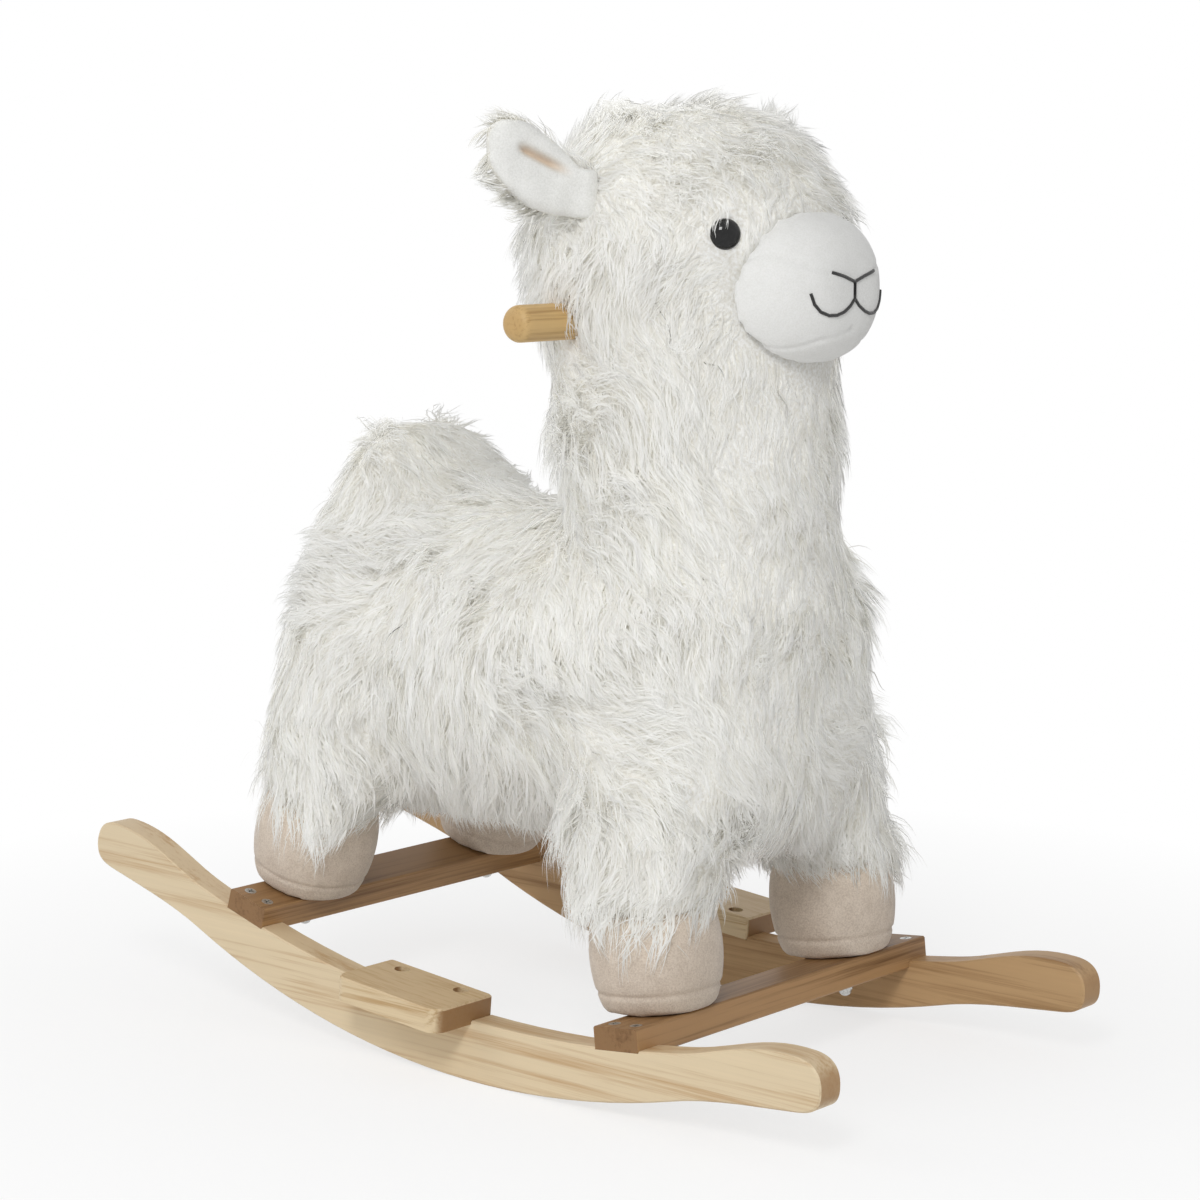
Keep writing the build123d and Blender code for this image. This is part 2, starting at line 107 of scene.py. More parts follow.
# Pile on the flank, and what each region adds to its length and lift
PILE_LENGTH = 0.042
LENGTH_CHANGES = {"legs": 0.003, "rump": -0.017, "head": -0.011, "top": -0.006, "ends": -0.014}
PILE_LIFT, LEAST_LIFT = 0.38, 0.22
LIFT_CHANGES = {"rump": 0.3, "legs": 0.1, "brow": 0.05, "close": -0.22, "ends": -0.16}
PILE_CURL, EAR_CURL = 0.55, 0.4
LOCK_SPREAD, LOCK_PINCH = 0.0074, 0.68
LOCK_STEPS = 6

# Room that the pile leaves round the eyes and the handle
EYE_ROOM, EYE_BARE, HANDLE_BARE = 0.0135, 0.0142, 0.0135

EAR_RISE = 0.432
EAR_LOCKS = 130

CLOTH_STEPS = 20


def linear(code):
    """Linear RGBA of an sRGB hex colour."""
    parts = [int(code[i : i + 2], 16) / 255 for i in (1, 3, 5)]
    return tuple(c / 12.92 if c <= 0.04045 else ((c + 0.055) / 1.055) ** 2.4 for c in parts) + (1.0,)


def rgb(code):
    return linear(code)[:3]


def rgba(colour):
    return (*colour, 1.0)


def grey(level):
    return (level, level, level, 1.0)


# Settings


def colour_setting(name, description, code):
    """Colour property that starts at an sRGB hex colour."""
    return bpy.props.FloatVectorProperty(
        name=name, description=description, subtype="COLOR", default=rgb(code)
    )


def number_setting(name, description, default, **settings):
    return bpy.props.FloatProperty(name=name, description=description, default=default, **settings)


class CoatSettings(bpy.types.PropertyGroup):
    """Sizes and colours of the long pile."""

    seed: bpy.props.IntProperty(name="Seed", description="Start of the coat's random numbers", default=7)
    locks: bpy.props.IntProperty(name="Locks", description="Locks of pile on the whole body", default=11000)
    strands: bpy.props.IntProperty(name="Strands", description="Strands in one lock", default=10)
    loose: bpy.props.IntProperty(
        name="Loose strands", description="Single strands between the locks", default=38000
    )
    width: number_setting("Strand width", "Widest part of a strand", 0.00075, precision=5, unit="LENGTH")
    # Colour at the roots is painted shade, as deep in the pile
    root_shade_colour: colour_setting("Root", "Colour deep in the pile", "#E4E2DB")
    tip_colour: colour_setting("Tip", "Colour of the tips", "#F5F5F3")


class ClothSettings(bpy.types.PropertyGroup):
    """Colours and stuffing of the short-pile pieces."""

    muzzle_colour: colour_setting("Muzzle", "Colour of the smooth pile", "#EEEEEC")
    hoof_colour: colour_setting("Hooves", "Colour of the beige pile", "#DDD0C1")
    # Colour of the painted shade deep in the ear's fold
    fold_shade_colour: colour_setting("Ear fold", "Colour deep in the ear's fold", "#D9C4AC")
    swell: number_setting(
        "Swell", "How far the stuffing may push a sewn skin", 0.0025, precision=4, unit="LENGTH"
    )
    pressure: number_setting("Pressure", "Pressure of the stuffing", 4.0)


class WoodSettings(bpy.types.PropertyGroup):
    """Colours of the wooden pieces."""

    pale: colour_setting("Runners", "Pale wood of the runners", "#E0CDAC")
    # Each dark grain colour is also the painted shade on the tops of its pieces
    pale_dark: colour_setting("Runner grain", "Dark grain of the runners", "#BC976A")
    brown: colour_setting("Slats", "Brown wood of the slats", "#AE885E")
    brown_dark: colour_setting("Slat grain", "Dark grain of the slats", "#6E4D2B")


class StageSettings(bpy.types.PropertyGroup):
    """Camera and light."""

    eye_point: bpy.props.FloatVectorProperty(
        name="Camera", description="Where the camera stands", subtype="XYZ", unit="LENGTH",
        default=(1.3352, -1.5253, 0.5738),
    )
    azimuth: number_setting("Azimuth", "Turn of the camera's axis", radians(41.913), subtype="ANGLE")
    elevation: number_setting("Elevation", "Drop of the camera's axis", radians(9.522), subtype="ANGLE")
    aim_right: number_setting("Aim right", "Aim beside the axis, as a slope", 0.019644)
    aim_up: number_setting("Aim up", "Aim above the axis, as a slope", 0.025041)
    lens: number_setting("Lens", "Focal length in millimetres", 93.0)
    key: number_setting("Key light", "Power of the key light", 24.0, unit="POWER")
    fill: number_setting("Sky light", "Strength of the light from all round", 0.46)


# Materials


def node(tree, kind, inputs=None, stops=None, **settings):
    """Add one shader node, set its settings and colour stops, and set or link its inputs."""
    made = tree.nodes.new("ShaderNode" + kind)
    for name, value in settings.items():
        setattr(made, name, value)
    if stops:
        while len(made.color_ramp.elements) < len(stops):
            made.color_ramp.elements.new(0.5)
        for element, (place, colour) in zip(made.color_ramp.elements, stops):
            element.position = place
            element.color = colour
    for name, value in (inputs or {}).items():
        if isinstance(value, bpy.types.NodeSocket):
            tree.links.new(value, made.inputs[name])
        else:
            made.inputs[name].default_value = value
    return made


def finish(name, **sockets):
    """New material with its own shader, whose constant sockets are set here."""
    made = bpy.data.materials.new(name)
    made.use_nodes = True
    shader = made.node_tree.nodes["Principled BSDF"]
    for key, value in sockets.items():
        shader.inputs[key.replace("_", " ")].default_value = value
    return made, made.node_tree, shader


def noise(tree, scale, **inputs):
    """Height of a noise in object space, with its scale in waves per metre."""
    place = node(tree, "TexCoord").outputs["Object"]
    return node(tree, "TexNoise", {"Vector": place, "Scale": scale, **inputs}).outputs["Fac"]


def tinted(tree, height, *stops):
    """Colour of a height between these stops."""
    return node(tree, "ValToRGB", {"Fac": height}, stops=stops).outputs["Color"]


def mixed(tree, kind, share, first, second):
    """First value with a share of the second."""
    return node(tree, "Mix", {"Factor": share, "A": first, "B": second}, data_type=kind).outputs["Result"]


def wire(tree, shader, colour, height=None, strength=0.0, distance=0.0):
    """Link a colour to a shader, and a height as its bump."""
    tree.links.new(colour, shader.inputs["Base Color"])
    if height is not None:
        bump = node(tree, "Bump", {"Height": height, "Strength": strength, "Distance": distance})
        tree.links.new(bump.outputs["Normal"], shader.inputs["Normal"])


def share_surface(tree, share, first, second):
    """Show the first shader with a share of the second."""
    mix = node(tree, "MixShader", {"Fac": share, 1: first, 2: second})
    tree.links.new(mix.outputs["Shader"], tree.nodes["Material Output"].inputs["Surface"])


def long_pile(settings):
    """Acrylic fake fur: pale strands with a soft shine, painted warmer and darker at the root as shade deep
    in the pile.
    """
    made, tree, shader = finish(
        "acrylic long pile", Roughness=0.55, Sheen_Weight=0.1, Sheen_Roughness=0.5, Specular_IOR_Level=0.3
    )
    tone_and_root_shade = node(tree, "Attribute", attribute_name="tone_and_root_shade").outputs["Fac"]
    # Strands run from painted shade at the root to the pale tip
    tint = tinted(tree, tone_and_root_shade, (0.1, rgba(settings.root_shade_colour)), (0.75, rgba(settings.tip_colour)))
    wire(tree, shader, tint)
    glow = node(tree, "BsdfTranslucent", {"Color": tint})
    # A ribbon seen from behind shows the light that falls on its outer side
    behind = node(tree, "NewGeometry").outputs["Backfacing"]
    share = node(tree, "MapRange", {"Value": behind, "To Min": 0.15, "To Max": 0.9})
    share_surface(tree, share.outputs["Result"], shader.outputs["BSDF"], glow.outputs["BSDF"])
    return made


def pile_base(settings):
    """Knitted backing under the long pile: the same warm white, dull, with small tufts."""
    made, tree, shader = finish("fake fur backing", Roughness=0.9)
    # Tufts stand about 2 mm apart
    tufts = noise(tree, 480.0, Detail=2.0)
    tint = tinted(tree, tufts, (0.3, linear("#DDDAD1")), (0.7, rgba(settings.tip_colour)))
    wire(tree, shader, tint, tufts, 0.6, 0.001)
    return made


def short_pile(name, colour, shade, groove=None):
    """Brushed polyester velboa: even short nap, small crushed patches and a soft rim of light."""
    made, tree, shader = finish(
        name, Roughness=0.85, Sheen_Weight=0.35, Sheen_Roughness=0.4, Specular_IOR_Level=0.2
    )
    # Crushed patches are about 9 mm wide, and the nap is drawn at 1.1 mm so that it shows
    patches = noise(tree, 110.0, Detail=3.0, Roughness=0.6)
    nap = noise(tree, 900.0, Detail=2.0, Roughness=0.7)
    height = mixed(tree, "FLOAT", 0.7, patches, nap)
    tint = tinted(tree, height, (0.36, rgba(shade)), (0.6, rgba(colour)))
    # Deep in a fold the nap is painted in shade
    if groove is not None:
        fold_shade = node(tree, "Attribute", attribute_name="fold").outputs["Fac"]
        tint = mixed(tree, "RGBA", fold_shade, tint, rgba(groove))
    wire(tree, shader, tint, height, 0.45, 0.001)
    return made


def thread(name, code):
    """Polyester embroidery thread: twisted plies with a dull shine."""
    made, tree, shader = finish(name, Roughness=0.55, Sheen_Weight=0.3)
    # Plies lie about 0.9 mm apart
    plies = noise(tree, 1100.0, Detail=1.0)
    wire(tree, shader, tinted(tree, plies, (0.3, grey(0.004)), (0.7, linear(code))), plies, 0.7, 0.0005)
    return made


def timber(name, light, dark, along, figure=0.55, top=0.0, end=0.0, core=None, offset=(0.0, 0.0, 0.0)):
    """Planed and lacquered rubberwood: long grain streaks, broad figure, darker end grain, fine pores, and
    painted shade on faces turned up.
    """
    made, tree, shader = finish(name, Roughness=0.48, Specular_IOR_Level=0.35)
    coords = node(tree, "TexCoord").outputs
    axis = "XYZ".index(along)

    def grain(across, lengthwise, shift, **inputs):
        """Noise drawn out along the wood, in waves per metre."""
        scale = [across] * 3
        scale[axis] = lengthwise
        spot = node(tree, "Mapping", {"Vector": coords["Object"], "Location": shift, "Scale": scale})
        inputs.update({"Vector": spot.outputs["Vector"], "Scale": 1.0})
        return node(tree, "TexNoise", inputs).outputs["Fac"]

    def facing_share(value, low, high, most):
        """Share that grows as a face turns to one side."""
        turned = {"Value": value, "From Min": low, "From Max": high, "To Max": most}
        return node(tree, "MapRange", turned).outputs["Result"]

    # Streaks are 2.4 mm across and 140 mm long, figure is 16 mm across and 400 mm long
    streaks = grain(420.0, 7.0, offset, Detail=5.0, Roughness=0.65)
    wide = grain(60.0, 2.6, offset, Detail=3.0, Distortion=0.6)
    # Pores are 0.7 mm across and 16 mm long
    pores = grain(1400.0, 60.0, (0.0, 0.0, 0.0), Detail=2.0)
    bright = tuple(min(1.0, c * 1.08) for c in light)
    tint = tinted(
        tree, mixed(tree, "FLOAT", figure, streaks, wide),
        (0.34, rgba(dark)), (0.5, rgba(light)), (0.72, rgba(bright)),
    )
    facing = node(tree, "SeparateXYZ", {"Vector": coords["Normal"]}).outputs
    ends = node(tree, "Math", {0: facing["XYZ"[axis]]}, operation="ABSOLUTE").outputs["Value"]
    # Faces turned up take the dark grain colour as painted shade
    tint = mixed(tree, "RGBA", facing_share(facing["Z"], 0.5, 0.95, top), tint, rgba(dark))
    tint = mixed(tree, "RGBA", facing_share(ends, 0.7, 0.97, end), tint, rgba(core or dark))
    wire(tree, shader, tint, pores, 0.06, 0.0004)
    return made


def zinc():
    """Zinc-plated steel: pale grey, slightly cloudy, dull shine."""
    made, tree, shader = finish("zinc-plated steel", Metallic=1.0, Roughness=0.32)
    # Clouds are about 1.4 mm wide
    cloud = noise(tree, 700.0, Detail=3.0)
    wire(tree, shader, tinted(tree, cloud, (0.3, linear("#A9A9A6")), (0.7, linear("#D2D2CF"))))
    return made


def nylon():
    """Moulded white nylon: even off-white with a dull shine and faint flow clouds."""
    made, tree, shader = finish("moulded white nylon", Roughness=0.4)
    # Clouds are about 3.3 mm wide
    cloud = noise(tree, 300.0, Detail=2.0)
    wire(tree, shader, tinted(tree, cloud, (0.3, linear("#E0E0DC")), (0.7, linear("#EBEBE7"))))
    return made


def black_gloss():
    """Polished moulded polystyrene: deep black with a sharp highlight and faint dust."""
    made, tree, shader = finish("polished black plastic", Roughness=0.06, IOR=1.42)
    # Dust lies in patches about 2 mm wide
    dust = noise(tree, 500.0, Detail=2.0)
    wire(tree, shader, tinted(tree, dust, (0.4, grey(0.003)), (0.8, grey(0.012))))
    return made


# Modelling helpers


def alone(*objs):
    """Select these objects and nothing else."""
    if bpy.context.object and bpy.context.object.mode != "OBJECT":
        bpy.ops.object.mode_set(mode="OBJECT")
    bpy.ops.object.select_all(action="DESELECT")
    for obj in objs:
        obj.select_set(True)
    bpy.context.view_layer.objects.active = objs[0]


def added(name, data):
    """New object of this data in the scene."""
    made = bpy.data.objects.new(name, data)
    bpy.context.scene.collection.objects.link(made)
    return made


def edit_all():
    """Edit the active object with all of it selected."""
    bpy.ops.object.mode_set(mode="EDIT")
    bpy.ops.mesh.select_all(action="SELECT")


def named(obj, name):
    obj.name = name
    obj.data.name = name
    return obj


def coords(obj):
    """Vertex places of a mesh object, one row each."""
    co = np.empty(len(obj.data.vertices) * 3)
    obj.data.vertices.foreach_get("co", co)
    return co.reshape(-1, 3)


def set_coords(obj, co):
    obj.data.vertices.foreach_set("co", np.ascontiguousarray(co).ravel())
    obj.data.update()


def vertex_normals(obj):
    rows = np.empty(len(obj.data.vertices) * 3)
    obj.data.vertex_normals.foreach_get("vector", rows)
    return rows.reshape(-1, 3)


def apply_modifier(obj, kind, **settings):
    alone(obj)
    made = obj.modifiers.new(kind.title(), kind)
    for key, value in settings.items():
        setattr(made, key, value)
    bpy.ops.object.modifier_apply(modifier=made.name)


def merged_copy(name, nodes):
    """One object with the solids of these CAD nodes, its doubles merged."""
    copies = [added(name, frame["nodes"][key].data.copy()) for key in nodes]
    alone(*copies)
    if len(copies) > 1:
        bpy.ops.object.join()
    made = named(bpy.context.view_layer.objects.active, name)
    made.data.materials.clear()
    if made.data.has_custom_normals:
        bpy.ops.mesh.customdata_custom_splitnormals_clear()
    edit_all()
    bpy.ops.mesh.remove_doubles(threshold=0.00001)
    bpy.ops.object.mode_set(mode="OBJECT")
    return made


def keep_largest(obj):
    """Delete all but the outer shell."""
    alone(obj)
    bpy.ops.mesh.separate(type="LOOSE")
    parts = list(bpy.context.selected_objects)
    best = max(parts, key=lambda o: o.dimensions.length)
    for part in parts:
        if part is not best:
            bpy.data.meshes.remove(part.data)
    return best


def stuffed(name, nodes, voxel, smoothing, hull=False, bridge=0.0):
    """Sewn skin around these CAD solids: one closed, rounded shell that bridges inner gaps."""
    made = merged_copy(name, nodes)
    if hull:
        edit_all()
        bpy.ops.mesh.convex_hull()
        bpy.ops.object.mode_set(mode="OBJECT")
    apply_modifier(made, "REMESH", mode="VOXEL", voxel_size=voxel)
    if bridge:
        set_coords(made, coords(made) + vertex_normals(made) * bridge)
        apply_modifier(made, "REMESH", mode="VOXEL", voxel_size=voxel)
    made = keep_largest(made)
    if bridge:
        set_coords(made, coords(made) - vertex_normals(made) * bridge)
    apply_modifier(named(made, name), "SMOOTH", factor=0.5, iterations=smoothing)
    return made


def puff(obj, pressure, cap):
    """Swell a sewn skin with cloth pressure and keep each point within cap of where it was."""
    rest = coords(obj)
    cloth = obj.modifiers.new("Stuffing", "CLOTH")
    cloth.settings.use_pressure = True
    cloth.settings.uniform_pressure_force = pressure
    cloth.settings.effector_weights.gravity = 0.0
    cloth.collision_settings.use_collision = False
    scene = bpy.context.scene
    for step in range(1, CLOTH_STEPS + 1):
        scene.frame_set(step)
    shown = obj.evaluated_get(bpy.context.evaluated_depsgraph_get())
    moved = np.empty(len(obj.data.vertices) * 3)
    shown.data.vertices.foreach_get("co", moved)
    obj.modifiers.remove(cloth)
    scene.frame_set(1)
    step = moved.reshape(-1, 3) - rest
    far = np.linalg.norm(step, axis=1, keepdims=True)
    set_coords(obj, rest + step * np.minimum(1.0, cap / np.maximum(far, 1e-9)))


def clear_of(obj, nodes, gap, reach=0.015):
    """Push a skin out until it covers the hard pieces under it."""
    hard = merged_copy("hard_core", nodes)
    tree = BVHTree.FromObject(hard, bpy.context.evaluated_depsgraph_get())
    co, normals = coords(obj), vertex_normals(obj)
    push = np.zeros(len(co))
    for index, (place, normal) in enumerate(zip(co, normals)):
        far = tree.ray_cast(Vector(place + normal * reach), Vector(-normal), reach + gap)[3]
        if far is not None:
            push[index] = reach + gap - far
    a, b = np.array([e.vertices[:] for e in obj.data.edges]).T
    # The push fades over the points next to it
    for share in (0.9, 0.7, 0.5):
        wide = push.copy()
        np.maximum.at(wide, a, push[b] * share)
        np.maximum.at(wide, b, push[a] * share)
        push = wide
    set_coords(obj, co + normals * push[:, None])
    bpy.data.meshes.remove(hard.data)


def paint(mesh, *materials):
    mesh.materials.clear()
    for made in materials:
        mesh.materials.append(made)


def dress(obj, materials, body, smooth=True):
    """Give a piece its finish and its body."""
    paint(obj.data, *materials)
    alone(obj)
    if smooth:
        bpy.ops.object.shade_smooth()
    if body:
        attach(obj, body)


def unit(rows):
    return rows / np.maximum(np.linalg.norm(rows, axis=-1, keepdims=True), 1e-9)


def ramp(values, low, high):
    """Smooth share from 0 at low to 1 at high."""
    t = np.clip((values - low) / (high - low), 0.0, 1.0)
    return t * t * (3 - 2 * t)


def ridge(values, middle, width):
    """Share that is 1 at the middle and fades over this width."""
    return np.exp(-(((values - middle) / width) ** 2))


def near_line(points, line):
    """Distance of each point from a polyline."""
    best = np.full(len(points), 1e9)
    for a, b in zip(line[:-1], line[1:]):
        a = np.asarray(a, float)
        d = np.asarray(b, float) - a
        t = np.clip(((points - a) @ d) / (d @ d), 0, 1)[:, None]
        best = np.minimum(best, np.linalg.norm(points - a - t * d, axis=1))
    return best


def middle_of(key):
    """Middle of a CAD node's box."""
    low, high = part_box(key)
    return np.array((low + high) / 2)


def from_handle(p):
    """Distance of each point from the handle's axis."""
    low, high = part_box("handle_dowel")
    return np.hypot(p[:, 0] - (low.x + high.x) / 2, p[:, 2] - (low.z + high.z) / 2)


# Pile


def scatter(obj, count, rng, mask=None):
    """Random places on a skin with the skin's normals there."""
    mesh = obj.data
    mesh.calc_loop_triangles()
    tris = np.empty(len(mesh.loop_triangles) * 3, np.int32)
    mesh.loop_triangles.foreach_get("vertices", tris)
    tris = tris.reshape(-1, 3)
    co, normals = coords(obj), vertex_normals(obj)
    a, b, c = (co[tris[:, i]] for i in range(3))
    area = np.linalg.norm(np.cross(b - a, c - a), axis=1)
    if mask is not None:
        area = area * mask[tris].all(axis=1)
    pick = tris[rng.choice(len(tris), count, p=area / area.sum())]
    u, v = rng.random(count), rng.random(count)
    over = u + v > 1
    u[over], v[over] = 1 - u[over], 1 - v[over]
    share = np.stack([1 - u - v, u, v], 1)[:, :, None]
    return (co[pick] * share).sum(1), unit((normals[pick] * share).sum(1))


def swirl(points, seed, wavelength, waves=10):
    """Smooth seeded field of directions."""
    rng = np.random.default_rng(seed)
    field = np.zeros_like(points)
    for _ in range(waves):
        wave = unit(rng.normal(size=3)) * 2 * pi / (wavelength * rng.uniform(0.7, 1.5))
        field += np.sin(points @ wave + rng.uniform(0, 2 * pi))[:, None] * rng.normal(size=3)
    return field / waves ** 0.5


def lock_paths(roots, normals, flow, length, lift, curl, droop, rng):
    """Points along each lock from its root to its tip."""
    flow = unit(flow - (flow * normals).sum(1, keepdims=True) * normals)
    side = np.cross(normals, flow)
    phase = rng.uniform(0, 2 * pi, (len(roots), 1))
    turns = rng.uniform(0.5, 1.3, (len(roots), 1))
    # Roots start 1 mm under the skin
    at = roots - normals * 0.001
    path = [at]
    for k in range(LOCK_STEPS):
        t = (k + 0.5) / LOCK_STEPS
        angle = 2 * pi * turns * t + phase
        way = normals * lift * (1.15 - t) + flow * (0.5 + 0.7 * t)
        way = way + side * np.sin(angle) * curl + normals * np.cos(angle) * curl * 0.3
        way = way + swirl(at, 5, 0.07) * 0.35
        way[:, 2] -= droop * t
        # No lock dives into the skin
        rise = (way * normals).sum(1, keepdims=True)
        way = way + normals * np.maximum(0.34 * lift * (1.1 - t) - rise, 0.0)
        at = at + unit(way) * length / LOCK_STEPS
        path.append(at)
    return np.stack(path, 1)


def ribbon_mesh(name, verts, steps):
    """Mesh of ribbons that each have two points a step and one at the tip."""
    ribbons, per, _ = verts.shape
    quads = np.array([(2 * k, 2 * k + 1, 2 * k + 3, 2 * k + 2) for k in range(steps - 2)]).ravel()
    corner = np.concatenate([quads, [per - 3, per - 2, per - 1]])
    first = np.arange(ribbons)[:, None]
    loops = (first * per + corner[None]).ravel().astype(np.int32)
    starts = np.concatenate([np.arange(0, len(corner) - 3, 4), [len(corner) - 3]])
    starts = (first * len(corner) + starts[None]).ravel().astype(np.int32)
    mesh = bpy.data.meshes.new(name)
    mesh.vertices.add(ribbons * per)
    mesh.vertices.foreach_set("co", verts.astype(np.float32).ravel())
    mesh.loops.add(len(loops))
    mesh.loops.foreach_set("vertex_index", loops)
    mesh.polygons.add(len(starts))
    mesh.polygons.foreach_set("loop_start", starts)
    mesh.update(calc_edges=True)
    mesh.polygons.foreach_set("use_smooth", np.ones(len(starts), bool))
    return mesh


def strand_mesh(name, paths, normals, count, spread, pinch, width, rng):
    """Tapered ribbons around each path, gathered at the tip, as one mesh with a value along each ribbon
    that runs from painted shade at the root to the tip.
    """
    locks, steps, _ = paths.shape
    t = np.linspace(0, 1, steps)
    run = unit(paths[:, -1] - paths[:, 0])
    side = unit(np.cross(run, normals))
    over = np.cross(normals, side)
    # Strands start in a disc round the lock's root and have their own length and stray
    angle = rng.uniform(0, 2 * pi, (locks, count, 1))
    reach = spread * np.sqrt(rng.random((locks, count, 1)))
    offset = side[:, None] * np.cos(angle) * reach + over[:, None] * np.sin(angle) * reach
    scale = rng.uniform(0.66, 1.08, (locks, count, 1, 1))
    base = paths[:, None, :1]
    rows = base + (paths[:, None] - base) * scale + offset[:, :, None] * (1 - pinch * t ** 0.8)[:, None]
    stray = rng.normal(size=(locks, count, 1, 3)) * 0.0014
    rows = (rows + stray * (t ** 2)[:, None]).reshape(-1, steps, 3)
    # Ribbons lie along the skin, each with its own twist and width
    skin = np.repeat(normals, count, axis=0)
    tangent = unit(np.gradient(rows, axis=1))
    flat = unit(np.cross(tangent, skin[:, None]))
    twist = rng.normal(0.0, 0.6, (len(rows), 1, 1))
    flat = flat * np.cos(twist) + np.cross(tangent, flat) * np.sin(twist)
    taper = np.interp(t, [0, 0.3, 0.7, 1], [0.9, 1.0, 0.8, 0.0])
    half = width / 2 * rng.uniform(0.7, 1.2, (len(rows), 1)) * taper
    left, right = rows - flat * half[..., None], rows + flat * half[..., None]
    body = np.stack([left[:, :-1], right[:, :-1]], 2).reshape(len(rows), -1, 3)
    mesh = ribbon_mesh(name, np.concatenate([body, rows[:, -1:]], 1), steps)
    along = np.concatenate([np.repeat(t[:-1], 2), [1.0]])
    # Ribbons run from painted shade at the root to the tip, and each lock and strand also differs at random
    tone_and_root_shade = np.repeat(rng.uniform(0.0, 0.25, locks), count) + rng.uniform(-0.15, 0.25, len(rows))
    tone_and_root_shade = along[None] * 0.65 + tone_and_root_shade[:, None]
    mesh.attributes.new("tone_and_root_shade", "FLOAT", "POINT").data.foreach_set("value", tone_and_root_shade.ravel().astype(np.float32))
    # Shading follows the skin, a little the ribbon's own face and the roundness of its lock
    face = unit(np.cross(flat, tangent))
    face = np.concatenate([np.repeat(face[:, :-1], 2, axis=1), face[:, -1:]], 1)
    bulge = (offset / max(spread, 1e-6)).reshape(-1, 1, 3)
    soft = unit(skin[:, None] * 0.75 + face * 0.15 + bulge * 0.15).reshape(-1, 3)
    mesh.normals_split_custom_set_from_vertices(soft)
    return added(name, mesh)


def changed(base, changes, shares):
    """Base value with each region's change by its share."""
    total = base
    for region, change in changes.items():
        total = total + change * shares[region]
    return total


def coat_flow(p, n):
    """Way the pile is brushed on the body, with its length, lift and droop there."""
    x, y, z = p.T
    head = ramp(z, 0.49, 0.53)
    neck = ramp(z, 0.33, 0.38) * (1 - head)
    legs = 1 - ramp(z, 0.15, 0.21)
    rump = ramp(-x, -0.02, 0.12) * ramp(z, 0.2, 0.3) * (1 - neck) * (1 - head)
    # Down all over, backward on the rump, forward on the chest and out to both sides
    flow = np.tile([0.0, 0.0, -1.0], (len(p), 1))
    flow += rump[:, None] * np.array([-0.9, 0.0, 0.2])
    flow[:, 0] += 0.95 * ramp(x, -0.02, 0.08) * (1 - head) * (1 - 0.6 * legs)
    flow[:, 1] += np.sign(y) * 0.25 * (1 - head)
    # Hair lies away from the muzzle on the cheeks, and forward on the brow
    around = np.stack([np.zeros_like(x), y, z - MUZZLE_HEIGHT], 1)
    face = head * ramp(x, 0.1, 0.15)
    cheek = np.maximum(ramp(x, 0.1, 0.15) * ramp(z, 0.40, 0.46), face)
    away = np.where(z < 0.53, 1.0, 0.2)[:, None]
    flow = flow * (1 - 0.6 * cheek[:, None]) + unit(around) * cheek[:, None] * away
    brow = head * ramp(z, 0.535, 0.56)
    flow = flow * (1 - brow[:, None]) + brow[:, None] * np.array([0.8, 0.0, 0.1])
    flow[:, 1] += np.sign(y) * 0.3 * brow
    # The brushing wanders to both sides
    flow = unit(flow - (flow * n).sum(1, keepdims=True) * n)
    turn = 0.75 * swirl(p, 3, 0.13)[:, :1] + 0.4 * swirl(p, 4, 0.05)[:, :1]
    flow = flow * np.cos(turn) + np.cross(n, flow) * np.sin(turn)
    # The pile is short on the tops, the chest and the tail end, between the legs and at the muzzle
    close = cheek * (1 - ramp(np.linalg.norm(around, axis=1), 0.055, 0.085))
    shares = {
        "legs": legs, "rump": rump, "head": head, "brow": brow, "close": close,
        "top": ramp(n[:, 2], 0.4, 0.9),
        "ends": ramp(np.abs(n[:, 0]), 0.35, 0.85) * (1 - head) * (1 - rump) * (1 - 0.6 * legs),
    }
    length = changed(PILE_LENGTH, LENGTH_CHANGES, shares)
    inner = legs * ramp(-n[:, 1] * np.sign(y), 0.0, 0.5)
    under = legs * ramp(-n[:, 2], 0.5, 0.9)
    length = length * (1 - 0.45 * np.maximum(inner, under))
    length = length * (1 - 0.25 * close)
    lift = np.maximum(changed(PILE_LIFT, LIFT_CHANGES, shares), LEAST_LIFT)
    # The pile lies flat round the handle
    grip = 1 - ramp(from_handle(p), 0.015, 0.05)
    length = length * (1 - 0.35 * grip)
    lift = lift - 0.14 * grip
    droop = 0.55 * (1 - rump) * (1 - brow)
    return flow, length[:, None], lift[:, None], droop


def region_of(p):
    """Number of the region that each lock grows in, so that no piece grows too large."""
    x, y, z = p.T
    left = (y > 0).astype(int)
    group = np.where(x < RUMP_END, 0, np.where(x < FLANK_END, 2, 4)) + left
    group = np.where((z > NECK_FOOT) & (x > 0.0), 6 + left, group)
    group = np.where(z > NECK_TOP, 8 + left, group)
    return np.where(z < LEG_TOP, np.where(x > 0, 10, 12) + left, group)


# Operators


